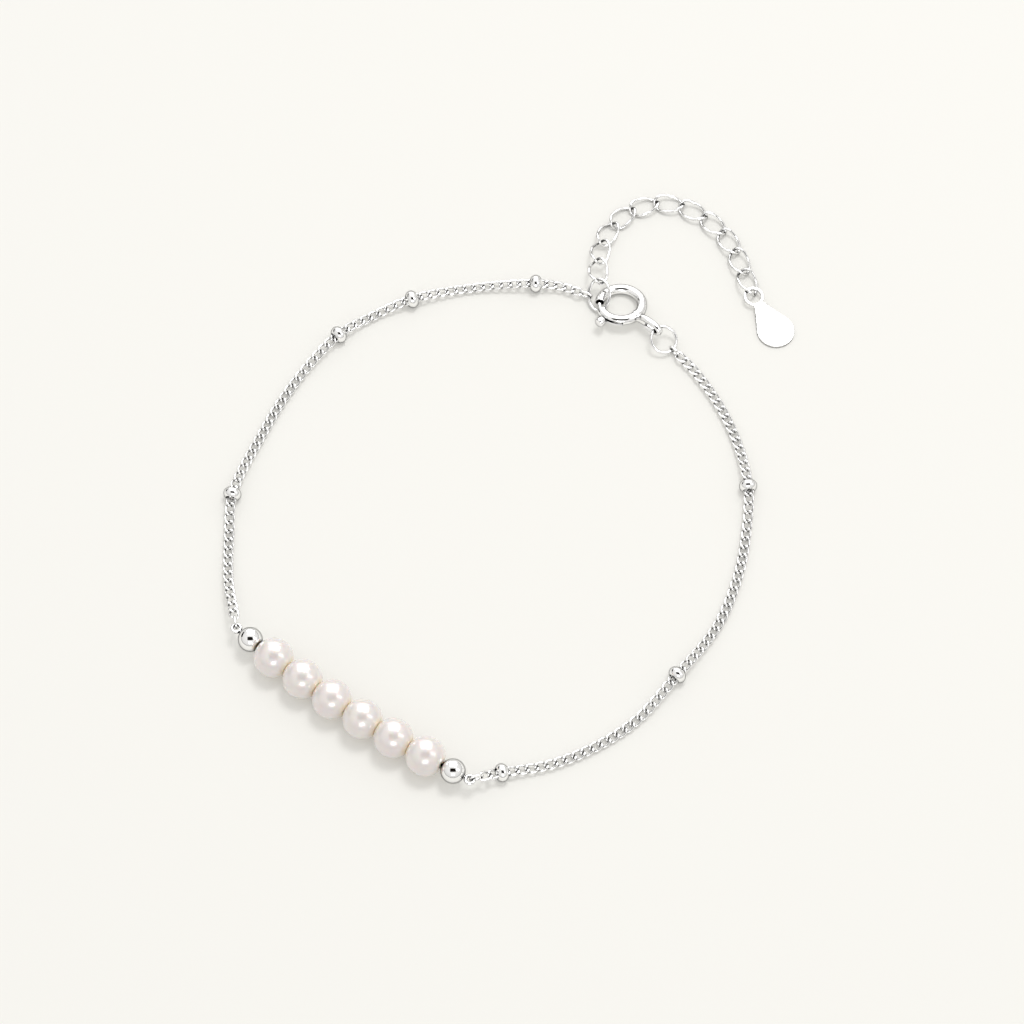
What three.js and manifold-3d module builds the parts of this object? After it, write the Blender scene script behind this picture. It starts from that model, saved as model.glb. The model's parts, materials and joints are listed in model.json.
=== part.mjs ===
// Pearl bar bracelet: six pearls between two silver balls on a stiff wire, a fine chain with small
// station beads, a spring ring clasp and an extender chain with a flat drop tag at its end.
// Millimetres, +Z up. The bracelet lies flat on z = 0 with its loop open.

import * as THREE from 'three';
import { mergeVertices } from 'three/addons/utils/BufferGeometryUtils.js';
import Module from 'manifold-3d';

const wasm = await Module();
wasm.setup();

// The loop's width, from the left chain's outermost point to the right one's
const loopWidth = 52.8;

// Pearl bar. Its middle is in hundredths of the loop's width, from the photo's centre.
const pearlDiameter = 4.0;
const pearlLength = 3.62;
const pearlFace = 1.7;
const pearlHole = 0.8;
const pearlCount = 6;
const pearlGap = 0.08;
const ballDiameter = 2.45;
const ballHole = 0.6;
const ballGap = 0.12;
const rowBow = 0.33;
const rowHeading = -34.9;
const rowCentre = { x: -30.55, y: -42.90 };
const barWire = 0.34;
const eyeletBore = 0.5;
const eyeletGap = 0.1;

// Fine chain, as a plain tube, and its station beads
const chainWidth = 0.8;
const chainRest = 0.44;
const chainStep = 1.7;
const beadDiameter = 1.85;
const beadLength = 1.1;
const beadClearance = 0.14;
const beadReach = 2.2;
const barReach = 4.5;
const endLinkLength = 1.55;
const endLinkWidth = 1.1;
const endLinkWire = 0.24;
const endLinkPlay = 0.07;

// Rings and extender links
const hookRingLength = 3.66;
const hookRingWidth = 2.66;
const hookRingWire = 0.36;
const eyeRingDiameter = 3.1;
const eyeRingWire = 0.35;
const linkLength = 3.46;
const linkWidth = 2.2;
const linkWire = 0.34;
const linkPlay = 0.08;
const linkCount = 11;
const linkTwist = 48;
const linkTwistPower = 1.6;
const linkFloor = 0.04;
const lastLinkRoll = -18;
const hookReach = 4.2;

// Spring ring clasp
const claspDiameter = 5.5;
const claspTube = 1.05;
const claspBore = 0.66;
const claspTilt = 12;
const mouthAngle = 171.6;
const mouthDepth = 12;
const tubeStartAngle = 199.3;
const boreEndAngle = 288;
const boltWire = 0.42;
const boltEntry = 5;
const boltTailAngle = 243;
const knobAngle = 228;
const knobTravel = 40;
const knobStem = 0.3;
const knobDiameter = 0.86;
const knobLength = 0.72;
const knobGap = 0.08;
const slotClearance = 0.09;
const eyeAngle = -44;
const eyeLength = 3.3;
const eyeWidth = 1.5;
const eyeWire = 0.42;
const eyeSink = 0.3;

// Tag
const tagThickness = 0.3;
const tagWidth = 3.9;
const tagReach = 4.4;
const tagBoss = 2.15;
const tagHole = 1.56;
const tagSeat = 0.3;
const tagNeck = 1.1;
const tagNeckReach = 1.1;
const tagFold = 3.6;
const tagFoldLap = 0.3;
const tagHeading = -60;

// Mesh fineness
const pearlSides = 16;
const ballSides = 14;
const beadSides = 12;
const wireSides = 6;
const tubeSides = 8;
const linkSteps = 20;
const claspSides = 12;

// Chosen points of the chains' routes in plan, in hundredths of the loop's width from the photo's
// centre. Points marked bead are stations. The extender's points are in hundredths of its length from
// the ring that it hangs on.
const route = {
  left: [
    { x: -53.98, y: -16.10 }, { x: -54.36, y: -4.73 }, { x: -53.98, y: 3.03, bead: true },
    { x: -49.24, y: 15.53 }, { x: -42.99, y: 27.65 }, { x: -34.28, y: 38.45, bead: true },
    { x: -27.65, y: 43.18 }, { x: -19.89, y: 46.59, bead: true }, { x: -8.33, y: 49.62 },
    { x: 4.73, y: 50.19, bead: true }, { x: 9.85, y: 49.81 },
  ],
  right: [
    { x: -1.89, y: -55.11, bead: true }, { x: 7.01, y: -53.22 }, { x: 15.34, y: -49.62 },
    { x: 23.30, y: -44.13 }, { x: 31.06, y: -35.23, bead: true }, { x: 38.64, y: -25.19 },
    { x: 42.99, y: -14.77 }, { x: 45.08, y: -4.55 }, { x: 45.64, y: 4.73, bead: true },
    { x: 43.94, y: 14.39 }, { x: 40.53, y: 23.11 }, { x: 35.61, y: 31.06 },
  ],
  extender: [
    { x: -0.13, y: 13.40 }, { x: 3.57, y: 26.53 }, { x: 12.66, y: 36.30 }, { x: 25.79, y: 38.99 },
    { x: 37.91, y: 33.27 }, { x: 46.67, y: 22.83 }, { x: 53.74, y: 3.30 },
  ],
};
const hookRingPlace = { x: 17.31, y: 47.39, heading: 91, pitch: 21.5, roll: -22.5 };
const hookRingHeight = 1.1;
const eyeRingPlace = { x: 29.98, y: 37.12, heading: 136, pitch: 23.6, roll: 0 };
const eyeRingHeight = 1.13;
const claspPlace = { x: 21.63, y: 45.28 };

const silver = { color: 0xe6e6e8, roughness: 0.14, metalness: 1.0 };
const nacre = { color: 0xf4ede6, roughness: 0.24, metalness: 0.0 };
const rad = THREE.MathUtils.degToRad;
const bracelet = new THREE.Group();

function inPlan(point, unit) {
  return { ...point, x: point.x * unit / 100, y: point.y * unit / 100 };
}

function closed(geometry) {
  const bare = geometry.clone();
  bare.deleteAttribute('normal');
  bare.deleteAttribute('uv');
  return mergeVertices(bare, 1e-4);
}

function toManifold(geometry) {
  const bare = closed(geometry);
  const mesh = new wasm.Mesh({
    numProp: 3,
    vertProperties: new Float32Array(bare.attributes.position.array),
    triVerts: new Uint32Array(bare.index.array),
  });
  return new wasm.Manifold(mesh);
}

function fromManifold(solid) {
  const mesh = solid.getMesh();
  const geometry = new THREE.BufferGeometry();
  geometry.setAttribute('position', new THREE.BufferAttribute(Float32Array.from(mesh.vertProperties), 3));
  geometry.setIndex(new THREE.BufferAttribute(Uint32Array.from(mesh.triVerts), 1));
  geometry.computeVertexNormals();
  return geometry;
}

function fuse(...geometries) {
  return fromManifold(geometries.map(toManifold).reduce((whole, piece) => whole.add(piece)));
}

function addPiece(name, geometry, look, parent = bracelet) {
  const mesh = new THREE.Mesh(geometry, new THREE.MeshStandardMaterial(look));
  mesh.name = name;
  parent.add(mesh);
  return mesh;
}

function disc(radius, sides) {
  const shape = new THREE.Shape();
  for (let side = 0; side < sides; side += 1) {
    const turn = (side + 0.5) * 2 * Math.PI / sides;
    const corner = [radius * Math.cos(turn), radius * Math.sin(turn)];
    if (side === 0) shape.moveTo(...corner);
    else shape.lineTo(...corner);
  }
  shape.closePath();
  return shape;
}

function sweep(curve, shape, steps) {
  return new THREE.ExtrudeGeometry(shape, { steps, extrudePath: curve, bevelEnabled: false });
}

// A circle's stretch in the XY plane, from one angle to another in degrees.
class Arc extends THREE.Curve {
  constructor(radius, from, to) {
    super();
    this.radius = radius;
    this.from = rad(from);
    this.to = rad(to);
  }

  getPoint(share, target = new THREE.Vector3()) {
    const turn = this.from + (this.to - this.from) * share;
    return target.set(this.radius * Math.cos(turn), this.radius * Math.sin(turn), 0);
  }
}

// Drilled bead about X: an oval of revolution, cut off at both ends of its length, where its face is
// as wide as given. A face wider than the hole is flat round it.
function drilledBead(diameter, length, face, hole, sides) {
  const rows = Math.round(sides / 2);
  const start = Math.asin(face / diameter);
  const reach = length / 2 / Math.cos(start);
  const profile = [];
  for (let row = 0; row <= rows; row += 1) {
    const turn = start + (Math.PI - 2 * start) * row / rows;
    profile.push(new THREE.Vector2(diameter / 2 * Math.sin(turn), -reach * Math.cos(turn)));
  }
  if (face > hole) {
    profile.unshift(new THREE.Vector2(hole / 2, -length / 2));
    profile.push(new THREE.Vector2(hole / 2, length / 2));
  }
  profile.push(profile[0].clone());
  return closed(new THREE.LatheGeometry(profile, sides)).rotateZ(-Math.PI / 2);
}

// A curb link's turn about its own length, strongest at its ends.
function linkRoll(share, twist) {
  return -rad(twist) * Math.sign(share) * Math.abs(share) ** linkTwistPower;
}

// Oval wire link along X. Its ends are turned about X by the twist, opposite ways.
function link(length, width, wire, twist = 0, squareness = 2.3) {
  const reach = (length - wire) / 2;
  const spread = (width - wire) / 2;
  const centre = (turn) => {
    const along = reach * Math.sign(Math.cos(turn)) * Math.abs(Math.cos(turn)) ** (2 / squareness);
    const across = spread * Math.sign(Math.sin(turn)) * Math.abs(Math.sin(turn)) ** (2 / squareness);
    const roll = linkRoll(along / reach, twist);
    return new THREE.Vector3(along, across * Math.cos(roll), across * Math.sin(roll));
  };
  const torus = new THREE.TorusGeometry(1, 0.5, wireSides, linkSteps);
  const position = torus.attributes.position;
  for (let index = 0; index < position.count; index += 1) {
    const turn = 2 * Math.PI * torus.attributes.uv.getX(index);
    const around = 2 * Math.PI * torus.attributes.uv.getY(index);
    const middle = centre(turn);
    const tangent = centre(turn + 0.02).sub(centre(turn - 0.02)).normalize();
    const roll = linkRoll(middle.x / reach, twist);
    const up = new THREE.Vector3(0, -Math.sin(roll), Math.cos(roll));
    const out = new THREE.Vector3().crossVectors(tangent, up).normalize();
    up.crossVectors(out, tangent);
    middle.addScaledVector(out, wire / 2 * Math.cos(around));
    middle.addScaledVector(up, wire / 2 * Math.sin(around));
    position.setXYZ(index, middle.x, middle.y, middle.z);
  }
  return closed(torus);
}

function placed(geometry, place) {
  const turn = new THREE.Euler(rad(place.roll), -rad(place.pitch), rad(place.heading), 'ZYX');
  const matrix = new THREE.Matrix4().makeRotationFromEuler(turn);
  return geometry.clone().applyMatrix4(matrix.setPosition(place.x, place.y, place.z));
}

function direction(place) {
  const turn = new THREE.Euler(0, -rad(place.pitch), rad(place.heading), 'ZYX');
  return new THREE.Vector3(1, 0, 0).applyEuler(turn);
}

// Pearl bar: stations along a slightly bowed row, measured from its middle.
const pearlPitch = pearlLength + pearlGap;
const ballLength = Math.sqrt(ballDiameter ** 2 - ballHole ** 2);
const rowLength = pearlPitch * (pearlCount - 1);
const rowRadius = (rowLength / 2) ** 2 / (2 * rowBow) + rowBow / 2;
const rowHeight = pearlDiameter / 2;

function rowPoint(distance) {
  const turn = distance / rowRadius;
  const along = rowRadius * Math.sin(turn);
  const across = rowRadius * (1 - Math.cos(turn)) - rowBow / 2;
  const heading = rad(rowHeading);
  const centre = inPlan(rowCentre, loopWidth);
  return {
    x: centre.x + along * Math.cos(heading) - across * Math.sin(heading),
    y: centre.y + along * Math.sin(heading) + across * Math.cos(heading),
    z: rowHeight,
    heading: rowHeading + THREE.MathUtils.radToDeg(turn),
    pitch: 0,
    roll: 0,
  };
}

const ballStation = rowLength / 2 + pearlLength / 2 + ballGap + ballLength / 2;
const eyeletRadius = (eyeletBore + barWire) / 2;
const eyeletStation = ballStation + ballLength / 2 + eyeletGap + eyeletRadius + barWire / 2;

function buildPearlBar() {
  const pearl = drilledBead(pearlDiameter, pearlLength, pearlFace, pearlHole, pearlSides);
  for (let index = 0; index < pearlCount; index += 1) {
    const station = (index - (pearlCount - 1) / 2) * pearlPitch;
    addPiece(`pearl_${index + 1}`, placed(pearl, rowPoint(station)), nacre);
  }
  const ball = drilledBead(ballDiameter, ballLength, ballHole, ballHole, ballSides);
  addPiece('end_ball_left', placed(ball, rowPoint(-ballStation)), silver);
  addPiece('end_ball_right', placed(ball, rowPoint(ballStation)), silver);

  const ends = eyeletStation - eyeletRadius;
  const points = [];
  for (let share = -1; share <= 1; share += 0.25) {
    const point = rowPoint(ends * share);
    points.push(new THREE.Vector3(point.x, point.y, point.z));
  }
  const wire = sweep(new THREE.CatmullRomCurve3(points), disc(barWire / 2, wireSides), 8);
  const eyelet = new THREE.TorusGeometry(eyeletRadius, barWire / 2, wireSides, 14);
  const left = placed(eyelet, rowPoint(-eyeletStation));
  const right = placed(eyelet, rowPoint(eyeletStation));
  addPiece('pearl_wire', fuse(wire, left, right), silver);
}

// Fine chain: a tube that lies on the floor and lifts to its stations and to the rings at its ends.
function chainPoints(points, anchors) {
  const lifted = points.map((point) => {
    const near = points.filter((other) => other.bead);
    const reach = Math.min(...near.map((other) => Math.hypot(other.x - point.x, other.y - point.y)));
    let lift = (beadDiameter / 2 - chainRest) * Math.exp(-((reach / beadReach) ** 2));
    for (const anchor of anchors) {
      const far = Math.hypot(anchor.x - point.x, anchor.y - point.y);
      lift = Math.max(lift, (anchor.z - chainRest) * Math.exp(-((far / barReach) ** 2)));
    }
    return new THREE.Vector3(point.x, point.y, point.bead ? beadDiameter / 2 : chainRest + lift);
  });
  return lifted;
}

// Last link of a chain: stands on edge round the wire at the anchor and points along the chain.
function endLink(anchor, toward, wire) {
  const aim = new THREE.Vector3().subVectors(toward, anchor).normalize();
  const offset = endLinkLength / 2 - endLinkWire - wire / 2 - endLinkPlay;
  const middle = anchor.clone().addScaledVector(aim, offset);
  const side = new THREE.Vector3(-aim.y, aim.x, 0).normalize();
  const up = new THREE.Vector3().crossVectors(aim, side);
  const basis = new THREE.Matrix4().makeBasis(aim, up, side.negate()).setPosition(middle);
  const start = middle.clone().addScaledVector(aim, (endLinkLength - endLinkWire) / 2);
  return { geometry: link(endLinkLength, endLinkWidth, endLinkWire).applyMatrix4(basis), start };
}

function buildChain(name, points, first, last) {
  const lifted = chainPoints(points, [first.at, last.at]);
  const head = endLink(first.at, lifted[0], first.wire);
  const tail = endLink(last.at, lifted[lifted.length - 1], last.wire);
  const curve = new THREE.CatmullRomCurve3([head.start, ...lifted, tail.start], false, 'centripetal');
  const steps = Math.round(curve.getLength() / chainStep);
  const tube = sweep(curve, disc(chainWidth / 2, tubeSides), steps);
  addPiece(`chain_${name}`, fuse(tube, head.geometry, tail.geometry), silver);

  const bore = chainWidth + 2 * beadClearance;
  const bead = drilledBead(beadDiameter, beadLength, bore, bore, beadSides);
  let count = 0;
  points.forEach((point, index) => {
    if (!point.bead) return;
    count += 1;
    const share = nearestShare(curve, lifted[index]);
    const along = curve.getTangentAt(share);
    const heading = THREE.MathUtils.radToDeg(Math.atan2(along.y, along.x));
    const pitch = THREE.MathUtils.radToDeg(Math.asin(along.z));
    const place = { x: point.x, y: point.y, z: beadDiameter / 2, heading, pitch, roll: 0 };
    addPiece(`station_bead_${name}_${count}`, placed(bead, place), silver);
  });
}

function nearestShare(curve, target) {
  let best = 0;
  for (let share = 0; share <= 1; share += 0.0005) {
    const distance = curve.getPointAt(share).distanceTo(target);
    if (distance < curve.getPointAt(best).distanceTo(target)) best = share;
  }
  return best;
}

function vector(place) {
  return new THREE.Vector3(place.x, place.y, place.z);
}

const hookRing = { ...inPlan(hookRingPlace, loopWidth), z: hookRingHeight };
const eyeRing = { ...inPlan(eyeRingPlace, loopWidth), z: eyeRingHeight };

// Where a chain's last link holds a ring: on the ring's wire, at the side given by the sign.
function ringSide(place, axis, reach) {
  const turn = new THREE.Euler(rad(place.roll), -rad(place.pitch), rad(place.heading), 'ZYX');
  return vector(place).addScaledVector(axis.clone().applyEuler(turn), reach);
}

function eyeletSide(station, toward) {
  const centre = vector(rowPoint(station));
  const aim = new THREE.Vector3(toward.x - centre.x, toward.y - centre.y, 0);
  return centre.addScaledVector(aim.normalize(), eyeletRadius);
}

function buildChains() {
  const left = route.left.map((point) => inPlan(point, loopWidth));
  const right = route.right.map((point) => inPlan(point, loopWidth));
  const hookSide = ringSide(hookRing, new THREE.Vector3(0, 1, 0), (hookRingWidth - hookRingWire) / 2);
  const eyeSide = ringSide(eyeRing, new THREE.Vector3(-1, 0, 0), (eyeRingDiameter - eyeRingWire) / 2);
  const leftEyelet = eyeletSide(-eyeletStation, left[0]);
  const rightEyelet = eyeletSide(eyeletStation, right[0]);
  buildChain('left', left, { at: leftEyelet, wire: barWire }, { at: hookSide, wire: hookRingWire });
  buildChain('right', right, { at: rightEyelet, wire: barWire }, { at: eyeSide, wire: eyeRingWire });
}

function buildRings() {
  const oval = link(hookRingLength, hookRingWidth, hookRingWire, 0, 2);
  addPiece('hook_ring', placed(oval, hookRing), silver);
  const ringRadius = (eyeRingDiameter - eyeRingWire) / 2;
  const round = new THREE.TorusGeometry(ringRadius, eyeRingWire / 2, wireSides, linkSteps);
  addPiece('eye_ring', placed(closed(round), eyeRing), silver);
}

// Extender: equal links an equal step apart along the route, then the tag on the last one.
const linkPitch = linkLength - 2 * linkWire - linkPlay;
const extenderLength = linkPitch * linkCount;
const extenderLink = link(linkLength, linkWidth, linkWire, linkTwist);
extenderLink.computeBoundingBox();
const linkRise = linkFloor - extenderLink.boundingBox.min.z;

function extenderPlaces() {
  const top = ringSide(hookRing, new THREE.Vector3(1, 0, 0), (hookRingLength - hookRingWire) / 2);
  const lifted = route.extender.map((point) => {
    const from = inPlan(point, extenderLength);
    const at = new THREE.Vector3(hookRing.x + from.x, hookRing.y + from.y, linkRise);
    const far = Math.hypot(top.x - at.x, top.y - at.y);
    at.z += (top.z - linkRise) * Math.exp(-((far / hookReach) ** 2));
    return at;
  });
  const curve = new THREE.CatmullRomCurve3([top, ...lifted], false, 'centripetal');
  const length = curve.getLength();
  const first = (linkLength - linkWire) / 2 - linkWire / 2 - hookRingWire / 2 - linkPlay;
  const places = [];
  for (let index = 0; index < linkCount; index += 1) {
    const share = (first + index * linkPitch) / length;
    const at = curve.getPointAt(share);
    const back = curve.getPointAt(Math.max(0, share - linkPitch / 2 / length));
    const ahead = curve.getPointAt(Math.min(1, share + linkPitch / 2 / length));
    const along = ahead.sub(back).normalize();
    const heading = THREE.MathUtils.radToDeg(Math.atan2(along.y, along.x));
    const pitch = THREE.MathUtils.radToDeg(Math.asin(along.z));
    const roll = index === linkCount - 1 ? lastLinkRoll : 0;
    const place = { x: at.x, y: at.y, z: 0, heading, pitch, roll };
    const lowest = new THREE.Box3().setFromBufferAttribute(placed(extenderLink, place).attributes.position);
    place.z = Math.max(at.z, linkFloor - lowest.min.z);
    places.push(place);
  }
  // The last link is rolled and so stands higher. The one before it lies halfway up to it.
  places[linkCount - 2].z = (places[linkCount - 3].z + places[linkCount - 1].z) / 2;
  return places;
}

function buildExtender(places) {
  places.forEach((place, index) => {
    addPiece(`extender_link_${index + 1}`, placed(extenderLink, place), silver);
  });
}

// Tag: a flat drop on the floor, folded up slightly at its neck so that its hole meets the last link.
function tagOutline() {
  const boss = tagBoss / 2;
  const lobe = tagWidth / 2;
  const shape = new THREE.Shape();
  const bossTurn = Math.asin(tagNeck / 2 / boss);
  const span = Math.hypot(tagReach - tagNeckReach, tagNeck / 2);
  const lobeTurn = Math.acos(lobe / span) + Math.atan2(tagNeck / 2, tagReach - tagNeckReach);
  shape.absarc(0, 0, boss, bossTurn, 2 * Math.PI - bossTurn, false);
  shape.lineTo(tagNeckReach, -tagNeck / 2);
  shape.absarc(tagReach, 0, lobe, Math.PI + lobeTurn, 3 * Math.PI - lobeTurn, false);
  shape.lineTo(tagNeckReach, tagNeck / 2);
  const hole = new THREE.Path();
  hole.absarc(0, 0, tagHole / 2, 0, 2 * Math.PI, true);
  shape.holes.push(hole);
  return shape;
}

function halfPlane(from, to) {
  const box = new THREE.BoxGeometry(to - from, 2 * tagWidth, 4 * tagThickness);
  return toManifold(box.translate((from + to) / 2, 0, tagThickness / 2));
}

function buildTag(lastLink) {
  const plate = { depth: tagThickness, bevelEnabled: false, curveSegments: 16 };
  const whole = toManifold(new THREE.ExtrudeGeometry(tagOutline(), plate));
  const flat = fromManifold(whole.intersect(halfPlane(tagFold - tagFoldLap, tagReach + tagWidth)));
  const neck = fromManifold(whole.intersect(halfPlane(-tagBoss, tagFold)));
  const rise = lastLink.z - tagThickness / 2;
  neck.applyMatrix4(new THREE.Matrix4().set(1, 0, 0, 0, 0, 1, 0, 0, -rise / tagFold, 0, 1, rise, 0, 0, 0, 1));
  const reach = (linkLength - linkWire) / 2 + tagSeat;
  const hole = vector(lastLink).addScaledVector(direction(lastLink), reach);
  const place = { x: hole.x, y: hole.y, z: 0, heading: tagHeading, pitch: 0, roll: 0 };
  addPiece('tag', placed(fuse(flat, neck), place), silver);
}

// Clasp, in a frame of its own: the ring lies in XY and turns about Z.
const claspRadius = (claspDiameter - claspTube) / 2;

function buildClasp() {
  const clasp = new THREE.Group();
  clasp.rotation.x = -rad(claspTilt);
  const rise = claspTube / 2 + claspRadius * Math.sin(rad(claspTilt));
  const middle = inPlan(claspPlace, loopWidth);
  clasp.position.set(middle.x, middle.y, rise);
  bracelet.add(clasp);

  const tube = toManifold(sweep(new Arc(claspRadius, tubeStartAngle, mouthAngle + 360),
    disc(claspTube / 2, claspSides), 44));
  const bore = disc(claspBore / 2, claspSides);
  const lowerBore = toManifold(sweep(new Arc(claspRadius, tubeStartAngle - 3, boreEndAngle), bore, 14));
  const mouth = toManifold(sweep(new Arc(claspRadius, mouthAngle - mouthDepth, mouthAngle + 3), bore, 3));

  const slotWidth = knobStem + 2 * slotClearance;
  const slotEnds = THREE.MathUtils.radToDeg(slotWidth / claspDiameter * 2) / 2 + 1;
  const slotDepth = claspTube;
  const slotShape = new THREE.Shape();
  slotShape.moveTo(-slotWidth / 2, -slotDepth / 2);
  slotShape.lineTo(slotWidth / 2, -slotDepth / 2);
  slotShape.lineTo(slotWidth / 2, slotDepth / 2);
  slotShape.lineTo(-slotWidth / 2, slotDepth / 2);
  const slotStart = knobAngle - slotEnds;
  const slotEnd = knobAngle + knobTravel + slotEnds;
  const slot = toManifold(sweep(new Arc(claspRadius + slotDepth / 2, slotStart, slotEnd), slotShape, 9));

  const eyeCentre = claspRadius + claspTube / 2 - eyeSink + eyeLength / 2;
  const eye = link(eyeLength, eyeWidth, eyeWire, 0, 2.6).rotateX(Math.PI / 2);
  eye.translate(eyeCentre, 0, 0).rotateZ(rad(eyeAngle));
  const hollow = tube.subtract(lowerBore).subtract(mouth).subtract(slot);
  addPiece('clasp_ring', fromManifold(hollow.add(toManifold(eye))), silver, clasp);

  const boltPath = new Arc(claspRadius, mouthAngle - boltEntry, boltTailAngle);
  const rod = sweep(boltPath, disc(boltWire / 2, tubeSides), 12);
  const knobFoot = claspDiameter / 2 + knobGap;
  const stemLength = knobFoot - claspRadius + knobGap;
  const stem = new THREE.CylinderGeometry(knobStem / 2, knobStem / 2, stemLength, tubeSides);
  stem.translate(0, (claspRadius + knobFoot + knobGap) / 2, 0);
  const knob = new THREE.CylinderGeometry(knobDiameter / 2, knobDiameter / 2, knobLength, 10);
  knob.translate(0, knobFoot + knobLength / 2, 0);
  const handle = [stem, knob].map((piece) => piece.rotateZ(rad(knobAngle - 90)));
  addPiece('clasp_bolt', fuse(rod, ...handle), silver, clasp);
}

buildPearlBar();
buildChains();
buildRings();
const places = extenderPlaces();
buildExtender(places);
buildTag(places[places.length - 1]);
buildClasp();

// The origin is the middle of the footprint on the floor.
bracelet.updateMatrixWorld(true);
const bounds = new THREE.Box3().setFromObject(bracelet, true);
bracelet.position.set(-(bounds.min.x + bounds.max.x) / 2, -(bounds.min.y + bounds.max.y) / 2, -bounds.min.z);

export default bracelet;
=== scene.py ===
import json
import math

import bmesh
import bpy
import numpy as np
from mathutils import Euler, Matrix, Vector


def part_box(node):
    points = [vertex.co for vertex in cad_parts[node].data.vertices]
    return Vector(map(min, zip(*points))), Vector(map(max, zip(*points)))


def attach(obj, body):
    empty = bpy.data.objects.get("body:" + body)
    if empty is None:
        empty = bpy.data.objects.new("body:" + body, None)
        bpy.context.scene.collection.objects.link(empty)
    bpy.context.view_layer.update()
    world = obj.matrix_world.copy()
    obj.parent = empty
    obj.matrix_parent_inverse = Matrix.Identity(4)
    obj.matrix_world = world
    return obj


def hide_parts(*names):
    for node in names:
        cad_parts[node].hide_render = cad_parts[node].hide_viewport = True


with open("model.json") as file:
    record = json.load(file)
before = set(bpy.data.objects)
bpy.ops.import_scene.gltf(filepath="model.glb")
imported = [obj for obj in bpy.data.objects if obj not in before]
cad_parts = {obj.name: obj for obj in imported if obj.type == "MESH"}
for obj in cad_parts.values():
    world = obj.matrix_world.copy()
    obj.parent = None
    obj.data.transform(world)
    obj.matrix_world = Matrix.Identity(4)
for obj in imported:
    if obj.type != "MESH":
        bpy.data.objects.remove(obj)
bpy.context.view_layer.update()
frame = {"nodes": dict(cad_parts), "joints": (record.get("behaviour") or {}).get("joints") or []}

MM = 0.001

# The camera's angle is the photograph's. Its aim and distance, in metres, give the same frame.
CAMERA_ELEVATION = 63.0
CAMERA_DISTANCE = 0.348
CAMERA_LENS = 120.0
CAMERA_AIM = (-0.0000773, -0.0034262, 0.0)
WALL_RADIUS = 2.1
PALE_PAINT = (0.69, 0.684, 0.657)

# Sizes of the pieces, in millimetres, with angles in degrees.
PEARL_DIAMETER = 4.0
PEARL_LENGTH = 3.69
PEARL_FACE = 1.5
PEARL_HOLE = 0.8
PEARL_RIM = 0.06
BALL_DIAMETER = 2.45
BALL_FACE = 0.72
BALL_HOLE = 0.6
BALL_RIM = 0.05
BEAD_DIAMETER = 1.85
BEAD_LENGTH = 1.1
BEAD_FACE = 1.18
BEAD_BORE = 1.08
BEAD_RIM = 0.04
BAR_WIRE = 0.34
EYELET_RADIUS = 0.42
LEFT_EYELET = (-27.515, -17.438, 2.0)
RIGHT_EYELET = (-4.195, -33.706, 2.0)

CURB_PITCH = 0.966
CURB_LENGTH = 1.56
CURB_WIDTH = 1.12
CURB_WIRE = 0.25
CURB_TWIST = 48.0
CURB_PLAY = 0.03
END_LINK_LENGTH = 1.55
END_LINK_WIDTH = 1.1
END_LINK_WIRE = 0.24
END_LINK_PLAY = 0.07

HOOK_RING = {"length": 3.66, "width": 2.66, "wire": 0.31,
             "place": (9.062, 21.596, 1.100), "turn": (-22.5, -21.5, 91.0)}
EYE_RING = {"length": 3.1, "width": 3.1, "wire": 0.31,
            "place": (15.752, 16.173, 1.130), "turn": (0.0, -23.6, 136.0)}

LINK_LENGTH = 3.46
LINK_WIDTH = 2.2
LINK_WIRE = 0.28
LINK_TWIST = 48.0

# Every link's shape: how late its wire turns towards the ends, and how square its ends are.
TWIST_POWER = 1.6
LINK_SQUARENESS = 2.3

CLASP_RADIUS = 2.225
CLASP_TUBE = 1.05
TUBE_FROM = 199.3
TUBE_TO = 531.6
BOLT_FROM = 166.6
BOLT_TO = 243.0
KNOB_ANGLE = 228.0
KNOB_TRAVEL = 40.0

# The clasp's tube narrows a little towards its mouth, and both its ends are rounded.
TUBE_BORE = 0.43
MOUTH_BORE = 0.38
MOUTH_NARROWING = 0.07
TUBE_TAPER = 15.0
MOUTH_ROUND = 2.5
MOUTH_ROUND_DEPTH = 0.06
FAR_ROUND = 1.6
FAR_ROUND_DEPTH = 0.05
SLOT_HALF = 0.24
SLOT_MARGIN = 5.5
BOLT_RADIUS = 0.21
STEM_RADIUS = 0.15
STEM_OVERLAP = 0.06
KNOB_GAP = 0.08
# Distance from the knob's foot, and radius.
KNOB_PROFILE = [
    (0.00, 0.30), (0.03, 0.41), (0.11, 0.485), (0.22, 0.51), (0.60, 0.51), (0.71, 0.485),
    (0.79, 0.41), (0.82, 0.27), (0.83, 0.12),
]

# The clasp's eye: its loop sinks into the tube, with a collar at its foot and a sleeve.
EYE_ANGLE = -44.0
EYE_LENGTH = 3.3
EYE_WIDTH = 1.62
EYE_WIRE = 0.52
EYE_THICKENING = 1.35
EYE_SINK = 0.3
# Distance out from the tube's middle line, half width and half height.
EYE_COLLAR = [
    (0.00, 0.86, 0.40), (0.20, 0.80, 0.43), (0.38, 0.62, 0.44), (0.56, 0.48, 0.45),
    (0.78, 0.40, 0.47), (1.02, 0.37, 0.50), (1.26, 0.34, 0.50), (1.40, 0.26, 0.40),
    (1.45, 0.12, 0.20),
]
# Angle along the tube, and height over it.
EYE_SLEEVE = [(-7.5, -0.01), (-7.0, 0.035), (-6.0, 0.05), (6.0, 0.05), (7.0, 0.035), (7.5, -0.01)]

TAG_THICKNESS = 0.3
TAG_RIM = 0.07
TAG_WIDTH = 3.9
TAG_REACH = 4.4
TAG_BOSS = 2.15
TAG_HOLE = 1.56
TAG_NECK = 1.1
TAG_NECK_REACH = 1.1
TAG_FOLD = 3.6
TAG_FOLD_SOFTNESS = 0.35
TAG_RISE = 0.564
TAG_PLACE = (25.335, 21.571)
TAG_HEADING = -60.0

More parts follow.
